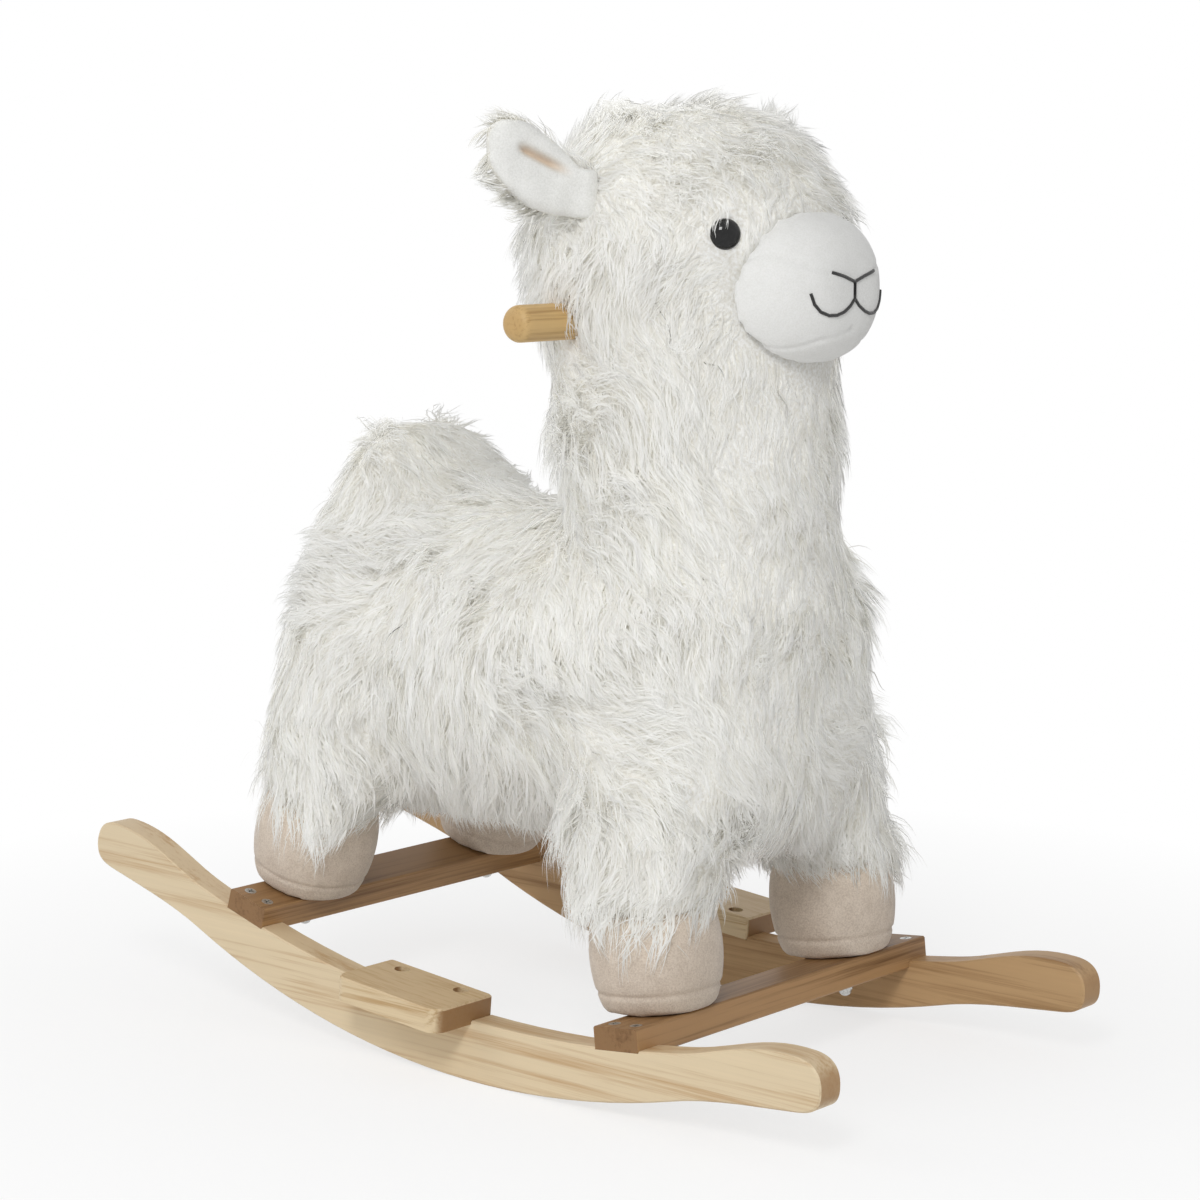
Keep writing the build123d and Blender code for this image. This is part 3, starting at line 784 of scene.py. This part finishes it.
class ROCKER_OT_coat(bpy.types.Operator):
    """Sew the stuffed body and grow its long pile"""

    bl_idname = "rocker.coat"
    bl_label = "Body and coat"

    def execute(self, context):
        settings = context.scene.rocker_coat
        cloth = context.scene.rocker_cloth
        skin = stuffed("body_skin", COAT_NODES + FRAME_NODES, 0.006, 6, bridge=0.006)
        puff(skin, cloth.pressure, 0.004)
        clear_of(skin, FRAME_NODES, 0.003)
        dress(skin, [pile_base(settings)], "toy")
        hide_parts(*COAT_NODES)
        pile = long_pile(settings)
        rng = np.random.default_rng(settings.seed)
        for kind, number, strands, spread, pinch in (
            ("locks", settings.locks, settings.strands, LOCK_SPREAD, LOCK_PINCH),
            ("loose", settings.loose, 1, 0.0, 0.0),
        ):
            roots, normals = scatter(skin, number, rng)
            keep = self.grows(roots)
            roots, normals = roots[keep], normals[keep]
            flow, length, lift, droop = coat_flow(roots, normals)
            if kind == "loose":
                flow = flow + rng.normal(size=flow.shape) * 0.4
                length = length * rng.uniform(0.5, 1.0, length.shape)
            length = length * rng.uniform(0.8, 1.15, length.shape)
            paths = lock_paths(roots, normals, flow, length, lift, PILE_CURL, droop, rng)
            shows = self.off_eyes(paths)
            roots, normals, paths = roots[shows], normals[shows], paths[shows]
            regions = region_of(roots)
            for index, label in enumerate(REGIONS):
                mine = regions == index
                if not mine.any():
                    continue
                name = "coat_" + label + "_" + kind
                made = strand_mesh(
                    name, paths[mine], normals[mine], strands, spread, pinch, settings.width, rng
                )
                dress(made, [pile], "toy", smooth=False)
        return {"FINISHED"}

    def off_eyes(self, paths):
        """True for locks that leave the eyes free."""
        keep = np.ones(len(paths), bool)
        for hand in HANDS:
            keep &= np.linalg.norm(paths - middle_of("eye_" + hand), axis=2).min(1) > EYE_ROOM
        return keep

    def grows(self, p):
        """True where pile grows: not under the muzzle, hooves, eyes or handle."""
        keep = from_handle(p) > HANDLE_BARE
        oval = (p[:, 1] / 0.058) ** 2 + ((p[:, 2] - MUZZLE_HEIGHT) / 0.052) ** 2
        keep &= ~((p[:, 0] > 0.12) & (oval < 1))
        for hand in HANDS:
            keep &= np.linalg.norm(p - middle_of("eye_" + hand), axis=1) > EYE_BARE
        for end in ENDS:
            step = p - middle_of("hoof_" + end)
            axis = np.array(LEG_AXES[end.split("_")[0]])
            up = step @ axis
            out = np.linalg.norm(step - up[:, None] * axis, axis=1)
            keep &= ~((up < 0.024) & (out < 0.06))
        return keep


class ROCKER_OT_muzzle(bpy.types.Operator):
    """Sew the smooth muzzle with its seams, nose and mouth"""

    bl_idname = "rocker.muzzle"
    bl_label = "Muzzle"

    # Seams near the right side of the skin, and thread lines across and up on its front
    seam_high = (
        (0.168, -0.055, 0.5165), (0.187, -0.0489, 0.5165), (0.1962, -0.0413, 0.5154),
        (0.2094, -0.0341, 0.5102), (0.219, -0.0219, 0.506),
    )
    seam_low = (
        (0.166, -0.052, 0.4575), (0.1823, -0.0447, 0.4585), (0.1984, -0.0332, 0.4622),
        (0.2124, -0.0221, 0.4665), (0.222, 0.0, 0.4715),
    )
    nose = ((-0.021, 0.5068), (-0.0105, 0.5042), (0.0, 0.5008))
    lip = (
        (0.0, 0.5008), (0.0, 0.4906), (-0.0045, 0.4862), (-0.0105, 0.4828), (-0.0165, 0.4811),
        (-0.0225, 0.4811), (-0.0285, 0.4834), (-0.0328, 0.4880), (-0.0352, 0.4945),
    )
    seam_depth, seam_width = 0.0009, 0.0017
    thread_radius = 0.00105
    stitches = 4

    def execute(self, context):
        settings = context.scene.rocker_cloth
        skin = stuffed("muzzle_skin", ("muzzle",), 0.003, 14)
        puff(skin, settings.pressure, settings.swell / 2)
        apply_modifier(skin, "SUBSURF", levels=1, render_levels=1)
        co, normals = coords(skin), vertex_normals(skin)
        tree = BVHTree.FromObject(skin, context.evaluated_depsgraph_get())
        for seam in (self.seam_high, self.seam_low):
            for hand in (1, -1):
                line = [tree.find_nearest(Vector((x, y * hand, z)))[0] for x, y, z in seam]
                groove = ridge(near_line(co, line), 0.0, self.seam_width)
                co = co - normals * (self.seam_depth * groove)[:, None]
        set_coords(skin, co)
        white = short_pile("white velboa", settings.muzzle_colour, rgb("#E6E6E3"))
        dress(skin, [white], "toy")
        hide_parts("muzzle")
        tree = BVHTree.FromObject(skin, context.evaluated_depsgraph_get())
        for name, line in (("nose", self.nose), ("mouth", self.lip)):
            self.embroider("sewn_" + name, line, tree)
        return {"FINISHED"}

    def embroider(self, name, line, tree):
        """Thread laid on the muzzle along a line that is mirrored to the other side."""
        curve = bpy.data.curves.new(name, "CURVE")
        curve.dimensions = "3D"
        curve.bevel_depth = self.thread_radius
        curve.bevel_resolution = 3
        curve.use_fill_caps = True
        rows = []
        for (y0, z0), (y1, z1) in zip(line[:-1], line[1:]):
            for k in range(self.stitches):
                rows.append((y0 + (y1 - y0) * k / self.stitches, z0 + (z1 - z0) * k / self.stitches))
        rows.append(line[-1])
        for hand in (1, -1):
            spline = curve.splines.new("POLY")
            spline.points.add(len(rows) - 1)
            for point, (y, z) in zip(spline.points, rows):
                hit, normal, _, _ = tree.ray_cast(Vector((0.4, y * hand, z)), Vector((-1, 0, 0)))
                if hit is None:
                    raise RuntimeError("the thread misses the muzzle")
                point.co = (*(hit + normal * 0.0002), 1.0)
        alone(added(name, curve))
        bpy.ops.object.convert(target="MESH")
        made = bpy.context.view_layer.objects.active
        dress(made, [thread("black embroidery thread", "#161412")], "toy")


class ROCKER_OT_eyes(bpy.types.Operator):
    """Turn the plastic safety eyes"""

    bl_idname = "rocker.eyes"
    bl_label = "Eyes"

    turn = radians(38)
    # Height of the dome as a share of its radius, its foot below the CAD eye's tip, and the rim under it
    dome, below_tip, rim = 0.62, 0.0045, 0.003

    def execute(self, context):
        gloss = black_gloss()
        for hand, side in HANDS.items():
            low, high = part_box("eye_" + hand)
            out = Vector((cos(self.turn), side * sin(self.turn), 0))
            radius = (high.z - low.z) / 2
            tip = max(v.co.dot(out) for v in frame["nodes"]["eye_" + hand].data.vertices)
            middle = (low + high) / 2
            foot = middle + out * (tip - self.below_tip - middle.dot(out))
            bpy.ops.object.select_all(action="DESELECT")
            bpy.ops.mesh.primitive_uv_sphere_add(segments=48, ring_count=24, radius=radius)
            made = named(context.view_layer.objects.active, "eye_dome_" + hand)
            edit_all()
            bpy.ops.mesh.bisect(plane_co=(0, 0, 0), plane_no=(0, 0, 1), clear_inner=True, use_fill=False)
            bpy.ops.mesh.select_all(action="DESELECT")
            bpy.ops.mesh.select_mode(type="EDGE")
            bpy.ops.mesh.select_non_manifold()
            bpy.ops.mesh.extrude_edges_move(TRANSFORM_OT_translate={"value": (0, 0, -self.rim)})
            bpy.ops.mesh.edge_face_add()
            bpy.ops.mesh.select_all(action="SELECT")
            bpy.ops.mesh.normals_make_consistent(inside=False)
            bpy.ops.object.mode_set(mode="OBJECT")
            co = coords(made)
            co[:, 2] = np.where(co[:, 2] > 0, co[:, 2] * self.dome, co[:, 2])
            turn = np.array(out.to_track_quat("Z", "Y").to_matrix())
            set_coords(made, co @ turn.T + np.array(foot))
            dress(made, [gloss], "toy")
            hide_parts("eye_" + hand)
        return {"FINISHED"}


class ROCKER_OT_ears(bpy.types.Operator):
    """Sew the folded ears and grow their pile"""

    bl_idname = "rocker.ears"
    bl_label = "Ears"

    def execute(self, context):
        coat, cloth = context.scene.rocker_coat, context.scene.rocker_cloth
        lining = short_pile("white ear velboa", rgb("#F2F2EF"), rgb("#E4E4E0"), cloth.fold_shade_colour)
        back, pile = pile_base(coat), long_pile(coat)
        rng = np.random.default_rng(coat.seed + 1)
        for hand, side in HANDS.items():
            name = "ear_" + hand
            joint = next(j for j in frame["joints"] if j["child"] == name)
            root = np.array(joint["pos_m"])
            out = unit(np.array([-0.403, 0.807 * side, EAR_RISE]))
            front = unit(np.array([0.894, 0.447 * side, 0.0]))
            skin = stuffed(name + "_skin", (name,), 0.0025, 8)
            apply_modifier(skin, "SUBSURF", levels=1, render_levels=1)
            self.fold(skin, root, out, front)
            dress(skin, [back, lining], None)
            shows = np.array([p.normal for p in skin.data.polygons]) @ front > 0.25
            skin.data.polygons.foreach_set("material_index", shows.astype(np.int32))
            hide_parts(name)
            start, end = root - out * 0.004, root + out * 0.016
            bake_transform(skin)
            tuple(start)
            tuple(end)
            # Pile grows on the back of the ear, down on the right one and up on the left one
            mask = ((vertex_normals(skin) @ front) < 0.15) & ((coords(skin) - root) @ out > -0.002)
            roots, normals = scatter(skin, EAR_LOCKS, rng, mask)
            flow = np.tile(out * 0.9 + np.array([-0.2, 0, 0.5 * side]), (len(roots), 1))
            flow = flow + 0.5 * swirl(roots, 9, 0.04)
            length = (0.024 + 0.005 * side) * rng.uniform(0.8, 1.15, (len(roots), 1))
            lift = np.full((len(roots), 1), 0.6)
            paths = lock_paths(roots, normals, flow, length, lift, EAR_CURL, 0.4, rng)
            # Light from above keeps the thin pile white from both sides
            shading = unit(0.6 * normals + np.array([0, 0, 0.8]))
            made = strand_mesh(
                name + "_pile", paths, shading, coat.strands, 0.006, 0.6, coat.width, rng
            )
            dress(made, [pile], None, smooth=False)
            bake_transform(made)
            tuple(start)
            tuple(end)
        return {"FINISHED"}

    def fold(self, skin, root, out, front):
        """Press a fold and a shallow dish into the front of an ear, and mark how deep the fold is for the
        painted shade in it.
        """
        co, normals = coords(skin), vertex_normals(skin)
        along = (co - root) @ out
        high = co[:, 2] - root[2] - EAR_RISE * along
        faces = ramp(normals @ front, 0.05, 0.4)
        fold = ridge(high, 0.006, 0.0024) * ramp(along, 0.012, 0.03) * (1 - ramp(along, 0.045, 0.056))
        dish = ridge(high, 0.004, 0.013) * ramp(along, 0.01, 0.03) * (1 - ramp(along, 0.045, 0.06))
        set_coords(skin, co - front * (faces * (0.007 * fold + 0.003 * dish))[:, None])
        # The mark is the share of painted shade deep in the fold
        fold_shade = skin.data.attributes.new("fold", "FLOAT", "POINT")
        fold_shade.data.foreach_set("value", (faces * fold * 0.9).astype(np.float32))


class ROCKER_OT_hooves(bpy.types.Operator):
    """Sew the beige feet with their sole seam"""

    bl_idname = "rocker.hooves"
    bl_label = "Hooves"

    seam_height, seam_width, seam_depth = 0.014, 0.0014, 0.0012

    def execute(self, context):
        settings = context.scene.rocker_cloth
        beige = short_pile("beige velboa", settings.hoof_colour, rgb("#C3B4A5"))
        for end in ENDS:
            axis = np.array(LEG_AXES[end.split("_")[0]])
            skin = stuffed("hoof_skin_" + end, ("hoof_" + end,), 0.003, 12, hull=True)
            puff(skin, settings.pressure, settings.swell)
            apply_modifier(skin, "SUBSURF", levels=1, render_levels=1)
            co, normals = coords(skin), vertex_normals(skin)
            up = co @ axis
            groove = ridge(up - up.min(), self.seam_height, self.seam_width)
            set_coords(skin, co - normals * (self.seam_depth * groove)[:, None])
            dress(skin, [beige], "toy")
            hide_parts("hoof_" + end)
        return {"FINISHED"}


class ROCKER_OT_wood(bpy.types.Operator):
    """Sand and lacquer the wooden pieces"""

    bl_idname = "rocker.wood"
    bl_label = "Wood"

    def execute(self, context):
        settings = context.scene.rocker_wood
        core = settings.brown
        runner = timber(
            "lacquered rubberwood", settings.pale, settings.pale_dark, "X", top=0.3, end=0.85, core=core
        )
        # The far runner has browner, darker wood
        far_runner_wood = timber(
            "lacquered rubberwood heart", rgb("#C3A075"), rgb("#936E45"), "X", top=0.3, end=0.85, core=core,
            offset=(0.2, 1.0, 4.2),
        )
        board = timber(
            "lacquered rubberwood board", rgb("#DDC8A4"), rgb("#BE9E72"), "X", figure=0.15, top=0.55,
            end=0.95, core=rgb("#94704A"), offset=(0.4, 3.0, 1.7),
        )
        brown = timber(
            "brown stained rubberwood", settings.brown, settings.brown_dark, "Y", top=0.4, end=0.6
        )
        dowel = timber("lacquered dowel", rgb("#CDAC76"), rgb("#A98450"), "Y", figure=0.35, end=0.35)
        raw = timber("raw pine", rgb("#D9BE92"), rgb("#B8935F"), "Z")
        finishes = {
            "rocker_right": runner, "rocker_left": far_runner_wood, "footrest_right": board, "footrest_left": board,
            "front_slat": brown, "rear_slat": brown, "handle_dowel": dowel,
        }
        for key, made in finishes.items():
            piece = merged_copy("sanded_" + key, (key,))
            dress(piece, [made], "toy", smooth=False)
            bpy.ops.object.shade_smooth_by_angle(angle=radians(28))
            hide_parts(key)
        for key in FRAME_NODES:
            paint(frame["nodes"][key].data, raw)
        return {"FINISHED"}


class ROCKER_OT_fasteners(bpy.types.Operator):
    """Cut the cross recesses and plate the fasteners"""

    bl_idname = "rocker.fasteners"
    bl_label = "Fasteners"

    # Length, width and height of one bar of the cross, and its turn in the head
    bar_size, bar_turn = (0.0046, 0.0011, 0.0026, 1), 0.4

    def execute(self, context):
        plated = zinc()
        facing = {"slat_screws": LEG_AXES, "footrest_screws": dict.fromkeys(LEG_AXES, FOOTREST_AXIS)}
        for key, axes in facing.items():
            piece = merged_copy("cross_" + key, (key,))
            cutters = []
            for middle, axis in self.heads(piece, axes):
                place = Matrix.Translation(middle) @ axis.to_track_quat("Z", "Y").to_matrix().to_4x4()
                for quarter in (0, 1):
                    bpy.ops.object.select_all(action="DESELECT")
                    bpy.ops.mesh.primitive_cube_add(size=1.0)
                    bar = context.view_layer.objects.active
                    turn = Matrix.Rotation(quarter * pi / 2 + self.bar_turn, 4, "Z")
                    bar.data.transform(place @ (turn @ Matrix.Diagonal(self.bar_size)))
                    cutters.append(bar)
            alone(*cutters)
            bpy.ops.object.join()
            tool = context.view_layer.objects.active
            apply_modifier(
                piece, "BOOLEAN", operation="DIFFERENCE", object=tool, solver="EXACT", use_self=True
            )
            bpy.data.meshes.remove(tool.data)
            dress(piece, [plated], "toy", smooth=False)
            bpy.ops.object.shade_smooth_by_angle(angle=radians(40))
            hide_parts(key)
        for key in PLATED_NODES:
            paint(frame["nodes"][key].data, plated)
        paint(frame["nodes"]["eye_washers"].data, nylon())
        return {"FINISHED"}

    def heads(self, piece, axes):
        """Middle of each screw's head and the way it faces."""
        co = coords(piece)
        edges = np.array([e.vertices[:] for e in piece.data.edges])
        # Each screw's points end up with the lowest number among them
        group = np.arange(len(co))
        while True:
            low = np.minimum(group[edges[:, 0]], group[edges[:, 1]])
            fresh = group.copy()
            np.minimum.at(fresh, edges[:, 0], low)
            np.minimum.at(fresh, edges[:, 1], low)
            if (fresh == group).all():
                break
            group = fresh
        for label in np.unique(group):
            rows = co[group == label]
            axis = axes["front" if rows[:, 0].mean() > 0 else "rear"]
            high = rows @ np.array(axis)
            yield Vector(rows[high > high.max() - 0.0002].mean(0)), axis


class ROCKER_OT_stage(bpy.types.Operator):
    """Set up the floor, lights and camera"""

    bl_idname = "rocker.stage"
    bl_label = "Stage"

    # Name, place, size and share of the key light's power
    lamps = (
        # The softbox above the camera also draws the highlight in the eyes
        ("key", (1.15, -1.9, 1.75), 0.65, 1.0),
        ("side", (-1.8, -2.0, 1.8), 1.6, 0.6),
    )
    lamp_aim = Vector((0.0, 0.0, 0.3))
    floor_size = 14.0
    sensor_width = 36.0

    def execute(self, context):
        settings = context.scene.rocker_stage
        context.scene.view_settings.view_transform = "Standard"
        self.lay_floor(context)
        self.light(context.scene, settings)
        self.aim_camera(context.scene, settings)
        return {"FINISHED"}

    def lay_floor(self, context):
        """White floor that keeps the toy's shadow and turns to plain white round it."""
        bpy.ops.object.select_all(action="DESELECT")
        bpy.ops.mesh.primitive_plane_add(size=self.floor_size)
        floor = context.view_layer.objects.active
        floor.name = "floor"
        floor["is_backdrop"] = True
        made, tree, shader = finish("white studio floor", Roughness=0.9)
        shader.inputs["Base Color"].default_value = linear("#F7F7F7")
        glow = node(tree, "Emission", {"Color": grey(1.0), "Strength": 1.0})
        seen = self.seen(tree)
        place = node(tree, "TexCoord").outputs["Object"]
        far = node(tree, "VectorMath", {0: place}, operation="LENGTH").outputs["Value"]
        fade = node(tree, "MapRange", {"Value": far, "From Min": 0.25, "From Max": 0.75, "To Min": 0.72})
        share = node(tree, "Math", {0: seen, 1: fade.outputs["Result"]}, operation="MULTIPLY")
        share_surface(tree, share.outputs["Value"], shader.outputs["BSDF"], glow.outputs["Emission"])
        floor.data.materials.append(made)

    def light(self, scene, settings):
        """Even sky that looks plain white, and two softboxes."""
        world = bpy.data.worlds.new("studio")
        world.use_nodes = True
        scene.world = world
        tree = world.node_tree
        level = mixed(tree, "FLOAT", self.seen(tree), settings.fill, 1.0)
        sky = tree.nodes["Background"]
        sky.inputs["Color"].default_value = grey(1.0)
        tree.links.new(level, sky.inputs["Strength"])
        for name, place, size, share in self.lamps:
            light = bpy.data.lights.new(name, "AREA")
            light.size = size
            light.energy = settings.key * share
            lamp = added(name, light)
            lamp.location = place
            lamp.rotation_euler = (self.lamp_aim - lamp.location).to_track_quat("-Z", "Y").to_euler()

    def aim_camera(self, scene, settings):
        """Camera where the photograph was taken from."""
        az, el = settings.azimuth, settings.elevation
        right = Vector((cos(az), sin(az), 0))
        back = Vector((sin(az) * cos(el), -cos(az) * cos(el), sin(el)))
        up = back.cross(right)
        aim = settings.aim_right * right + settings.aim_up * up - back
        lens = bpy.data.cameras.new("camera")
        lens.lens = settings.lens
        lens.sensor_width = self.sensor_width
        camera = added("camera", lens)
        camera.location = settings.eye_point
        camera.rotation_euler = aim.to_track_quat("-Z", "Y").to_euler()
        scene.camera = camera

    def seen(self, tree):
        """1 where the camera, a reflection or a view through glass looks, else 0."""
        path = node(tree, "LightPath").outputs
        value = path["Is Camera Ray"]
        for ray in ("Is Glossy Ray", "Is Transmission Ray"):
            value = node(tree, "Math", {0: value, 1: path[ray]}, operation="MAXIMUM").outputs["Value"]
        return value


class ROCKER_PT_panel(bpy.types.Panel):
    """Pieces of the toy"""

    bl_label = "Rocker"
    bl_idname = "ROCKER_PT_panel"
    bl_space_type = "VIEW_3D"
    bl_region_type = "UI"
    bl_category = "Rocker"

    def draw(self, context):
        for made in OPERATORS:
            self.layout.operator(made.bl_idname)


SETTINGS = {
    "rocker_coat": CoatSettings,
    "rocker_cloth": ClothSettings,
    "rocker_wood": WoodSettings,
    "rocker_stage": StageSettings,
}
OPERATORS = (
    ROCKER_OT_wood,
    ROCKER_OT_fasteners,
    ROCKER_OT_hooves,
    ROCKER_OT_coat,
    ROCKER_OT_muzzle,
    ROCKER_OT_eyes,
    ROCKER_OT_ears,
    ROCKER_OT_stage,
)


def register():
    for made in (*SETTINGS.values(), *OPERATORS, ROCKER_PT_panel):
        bpy.utils.register_class(made)
    for name, made in SETTINGS.items():
        setattr(bpy.types.Scene, name, bpy.props.PointerProperty(type=made))


def unregister():
    for name in SETTINGS:
        delattr(bpy.types.Scene, name)
    for made in reversed((*SETTINGS.values(), *OPERATORS, ROCKER_PT_panel)):
        bpy.utils.unregister_class(made)


def main():
    register()
    for made in OPERATORS:
        area, name = made.bl_idname.split(".")
        getattr(getattr(bpy.ops, area), name)()
    boxes = {"cad": cad_box, "visual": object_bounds()}
    {key: [list(corner) for corner in box] for key, box in boxes.items()}


if __name__ == "__main__":
    main()
